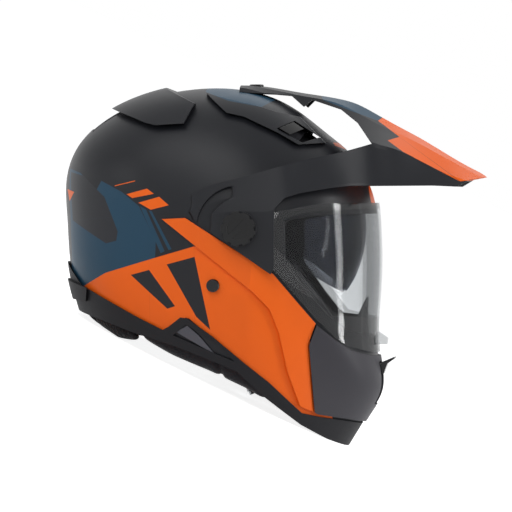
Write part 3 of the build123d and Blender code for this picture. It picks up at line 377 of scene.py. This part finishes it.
PORT_VIEW = [
    (285, 218), (317, 209), (345, 209), (392, 205), (392, 322), (357, 316), (331, 311), (306, 281), (285, 256),
]
RECESS_FACET = [(176.5, 329), (188.4, 323), (200, 333), (216, 351.5)]

crown_masks = [(TEAL, sides(CROWN_TEAL, CROWN_X)), (ORANGE, sides(CROWN_ARROW, CROWN_X))]
shell_masks = [
    (TEAL, sides(TEAL_REAR)), (PANEL, sides(REAR_PANEL)), (TEAL, sides(TEAL_STRIPES)),
    (ORANGE, sides(ORANGE_SIDE)), (BLACK, sides(SIDE_BARS + RECESS)), (ORANGE, sides(DASHES)),
    *crown_masks, (ORANGE, sides(BROW_BAND, CROWN_X)),
]
peak_masks = [(TEAL, sides(PEAK_TEAL, CROWN_X)), (ORANGE, sides(PEAK_ORANGE, CROWN_X))]

satin = {"bump": (1800.0, 0.06, 0.0001), "specular": 0.19, "vary": 0.04, "rounding": 0.0008}
lining = {"specular": 0.15, "vary": 0.12}
materials = {
    "shell_paint": surface(
        "shell_paint", BLACK, 0.4, bump=(1500.0, 0.03, 0.0001), specular=0.19, vary=0.03, rounding=0.0008,
        masks=shell_masks,
    ),
    "cover_orange": surface(
        "cover_orange", ORANGE, 0.4, bump=(1500.0, 0.03, 0.0001), specular=0.2, vary=0.04, rounding=0.0009,
    ),
    "cover_grey": surface(
        "cover_grey", GREY, 0.5, bump=(2200.0, 0.12, 0.00015), specular=0.2, vary=0.05, rounding=0.0009,
    ),
    "satin_black": surface("satin_black", BLACK, 0.42, **satin),
    "vent_paint": surface("vent_paint", BLACK, 0.42, masks=crown_masks, **satin),
    "peak_paint": surface(
        "peak_paint", BLACK, 0.43, bump=(1800.0, 0.05, 0.0001), specular=0.19, vary=0.03, rounding=0.0008,
        masks=peak_masks,
    ),
    "trim_black": surface(
        "trim_black", linear(25, 25, 28), 0.6, bump=(2600.0, 0.3, 0.0002), specular=0.16, rounding=0.0006,
    ),
    "facet_grey": surface(
        "facet_grey", linear(58, 58, 66), 0.4, bump=(2200.0, 0.1, 0.0001), rounding=0.0005,
    ),
    "gloss_black": surface(
        "gloss_black", linear(10, 10, 12), 0.16, bump=(400.0, 0.02, 0.0001), specular=0.28, rounding=0.0006,
    ),
    "rubber_black": surface(
        "rubber_black", linear(22, 22, 25), 0.6, bump=(1400.0, 0.15, 0.0002), specular=0.2, rounding=0.0005,
    ),
    "bead_foam": surface("bead_foam", linear(38, 38, 42), 0.8, cells=(330.0, 0.5, 0.0006), specular=0.2),
    "brushed_steel": surface(
        "brushed_steel", linear(170, 172, 176), 0.32, bump=(1800.0, 0.12, 0.0001), metal=1.0, rounding=0.0003,
    ),
    "lining_knit": surface(
        "lining_knit", linear(34, 34, 38), 0.92, bump=(700.0, 0.2, 0.0005), cells=(420.0, 0.5, 0.0006),
        sheen=0.25, **lining,
    ),
    "lining_mesh": surface(
        "lining_mesh", linear(26, 26, 29), 0.9, cells=(300.0, 0.9, 0.0012), sheen=0.15, **lining,
    ),
    "webbing": surface(
        "webbing", linear(24, 24, 27), 0.85, weave=(230.0, 0.7, 0.0004), specular=0.2, sheen=0.2, vary=0.12,
    ),
    "shield_clear": clear("shield_clear", (0.95, 0.96, 0.965, 1), 0.11, side(PORT_VIEW), 0.18),
    "visor_tint": clear("visor_tint", (0.42, 0.43, 0.46, 1), 0.06),
}
LOOKS = {
    "shell_paint": ["shell"],
    "cover_orange": ["front_cover_right", "front_cover_left"],
    "cover_grey": ["chin_cover"],
    "satin_black": ["spoiler"],
    "vent_paint": ["top_vent_right", "top_vent_left"],
    "peak_paint": ["peak"],
    "trim_black": [
        "base_trim", "chin_vent_grille", "rear_vent_grille", "shield_base_right", "shield_base_left",
        "visor_pivots", "buckle_tongue",
    ],
    "gloss_black": [
        "chin_vent_shutter", "top_vent_slider_right", "top_vent_slider_left", "visor_lever", "peak_top_screw",
        "peak_knob_right", "peak_knob_left", "strap_rivet_right", "strap_rivet_left", "buckle_lever",
    ],
    "rubber_black": ["breath_deflector", "eyeport_gasket"],
    "bead_foam": ["eps_liner", "eps_chin", "cheek_eps_right", "cheek_eps_left"],
    "brushed_steel": ["shield_base_screws", "strap_anchor_right", "strap_anchor_left", "buckle_body"],
    "shield_clear": ["face_shield"],
    "visor_tint": ["sun_visor"],
}


def coat(data, look):
    data.materials.clear()
    data.materials.append(materials[look])


for look, nodes in LOOKS.items():
    for node in nodes:
        coat(NODES[node].data, look)
for node in ("face_shield", "sun_visor"):
    NODES[node].data.shade_smooth()

# ---- soft pieces, each in the space of its plain solid

SMOOTH_ROUNDS = 14
SMOOTH_FACTOR = 0.5
SEAM_DEPTH = 0.0022
SEAM_WIDTH = 0.0022
DEEPEST = 0.003


def keep_modified(obj):
    """The object's modifiers become its mesh."""
    graph = bpy.context.evaluated_depsgraph_get()
    mesh = bpy.data.meshes.new_from_object(obj.evaluated_get(graph))
    obj.modifiers.clear()
    obj.data = mesh


def copy_of(node, name):
    obj = bpy.data.objects.new(name, NODES[node].data.copy())
    scene.collection.objects.link(obj)
    return obj


def seam(place, across):
    """A sewn line, where a plane through a worn place cuts the piece; across is the plane's worn normal."""
    return rest(*place), tilted(*across).normalized()


def cushion(node, name, look, voxel, seams):
    """A stuffed piece: its plain solid rounded, then drawn in along its sewn seams."""
    obj = copy_of(node, name)
    remesh = obj.modifiers.new("remesh", "REMESH")
    remesh.mode = "VOXEL"
    remesh.voxel_size = voxel
    smooth = obj.modifiers.new("smooth", "SMOOTH")
    smooth.factor = SMOOTH_FACTOR
    smooth.iterations = SMOOTH_ROUNDS
    keep_modified(obj)
    subdivide = obj.modifiers.new("subdivide", "SUBSURF")
    subdivide.levels = subdivide.render_levels = 1
    keep_modified(obj)
    data = obj.data
    places = [vertex.co.copy() for vertex in data.vertices]
    normals = [vertex.normal.copy() for vertex in data.vertices]
    moved = []
    for place, normal in zip(places, normals):
        pull = sum(
            SEAM_DEPTH * math.exp(-(((place - spot).dot(across) / SEAM_WIDTH) ** 2)) for spot, across in seams
        )
        moved.extend(place - normal * min(pull, DEEPEST))
    data.vertices.foreach_set("co", moved)
    data.update()
    data.shade_smooth()
    coat(data, look)
    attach(obj, "helmet")
    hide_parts(node)


for sign, tag in ((-1, "right"), (1, "left")):
    cushion(f"cheek_pad_{tag}", f"cheek_cushion_{tag}", "lining_knit", voxel=0.0036, seams=[
        seam((0, sign * 78, -60), (0, 1, 0)), seam((20, 0, -70), (0.9, 0, 0.3)),
        seam((-25, 0, -70), (0.95, 0, 0.1)), seam((0, 0, -118), (0.35, 0, 1)),
    ])
cushion("comfort_liner", "crown_cushion", "lining_knit", voxel=0.004, seams=[
    seam((0, 22, 0), (0, 1, 0)), seam((0, -22, 0), (0, 1, 0)), seam((25, 0, 0), (1, 0, 0.1)),
    seam((-45, 0, 0), (1, 0, -0.1)), seam((-95, 0, 0), (1, 0, -0.3)), seam((0, 0, 10), (0, 0, 1)),
])
cushion("neck_roll", "neck_cushion", "lining_mesh", voxel=0.003, seams=[
    seam((0, 40, 0), (0, 1, 0)), seam((0, -40, 0), (0, 1, 0)), seam((-105, 0, -88), (0.4, 0, 1)),
])

# ---- webbing with rounded selvedges, in the space of its plain strip

WELD = 1e-5
SHARP_ANGLE = 1.0
SELVEDGE = 0.0004

for tag in ("right", "left"):
    obj = copy_of(f"strap_{tag}", f"webbing_{tag}")
    coat(obj.data, "webbing")
    bm = bmesh.new()
    bm.from_mesh(obj.data)
    bmesh.ops.remove_doubles(bm, verts=bm.verts, dist=WELD)
    sharp = [e for e in bm.edges if len(e.link_faces) == 2 and e.calc_face_angle(0) > SHARP_ANGLE]
    bmesh.ops.bevel(bm, geom=sharp, offset=SELVEDGE, segments=2, affect="EDGES", clamp_overlap=True)
    bm.to_mesh(obj.data)
    bm.free()
    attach(obj, "helmet")
    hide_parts(f"strap_{tag}")

# ---- the moulded facet in the right recess: a thin plate over a convex outline, laid on the shell

FACET_LIFT = 0.0012
FACET_THICK = 0.0008
FACET_RINGS = 14
FACET_STEPS = 6

# Half widths: one outside the whole helmet, and the shell's, for a place where no ray meets it
OUTSIDE = 0.3
NEAR_SKIN = 0.1

shell_tree = BVHTree.FromObject(NODES["shell"], bpy.context.evaluated_depsgraph_get())
outline = [Vector((x, 0, z)) for x, z in side(RECESS_FACET)]
middle = sum(outline, Vector()) / len(outline)
bm = bmesh.new()
centre = bm.verts.new(middle)
spots = [a.lerp(b, step / FACET_STEPS) for a, b in round_pairs(outline) for step in range(FACET_STEPS)]
rings = []
for ring in range(1, FACET_RINGS + 1):
    rings.append([bm.verts.new(middle.lerp(spot, ring / FACET_RINGS)) for spot in spots])
for here, ahead in round_pairs(rings[0]):
    bm.faces.new((centre, here, ahead))
for inner, outer in zip(rings, rings[1:]):
    for (in_here, in_ahead), (out_here, out_ahead) in zip(round_pairs(inner), round_pairs(outer)):
        bm.faces.new((in_here, out_here, out_ahead, in_ahead))
skin = -NEAR_SKIN
for vert in bm.verts:
    hit = shell_tree.ray_cast(Vector((vert.co.x, -OUTSIDE, vert.co.z)), Vector((0, 1, 0)))[0]
    if hit is not None:
        skin = hit.y
    vert.co.y = skin - FACET_LIFT
bmesh.ops.recalc_face_normals(bm, faces=bm.faces)
mesh = bpy.data.meshes.new("recess_facet_right")
bm.to_mesh(mesh)
bm.free()
obj = bpy.data.objects.new("recess_facet_right", mesh)
scene.collection.objects.link(obj)
thick = obj.modifiers.new("thick", "SOLIDIFY")
thick.thickness = FACET_THICK
thick.offset = 0
keep_modified(obj)
coat(obj.data, "facet_grey")
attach(obj, "helmet")
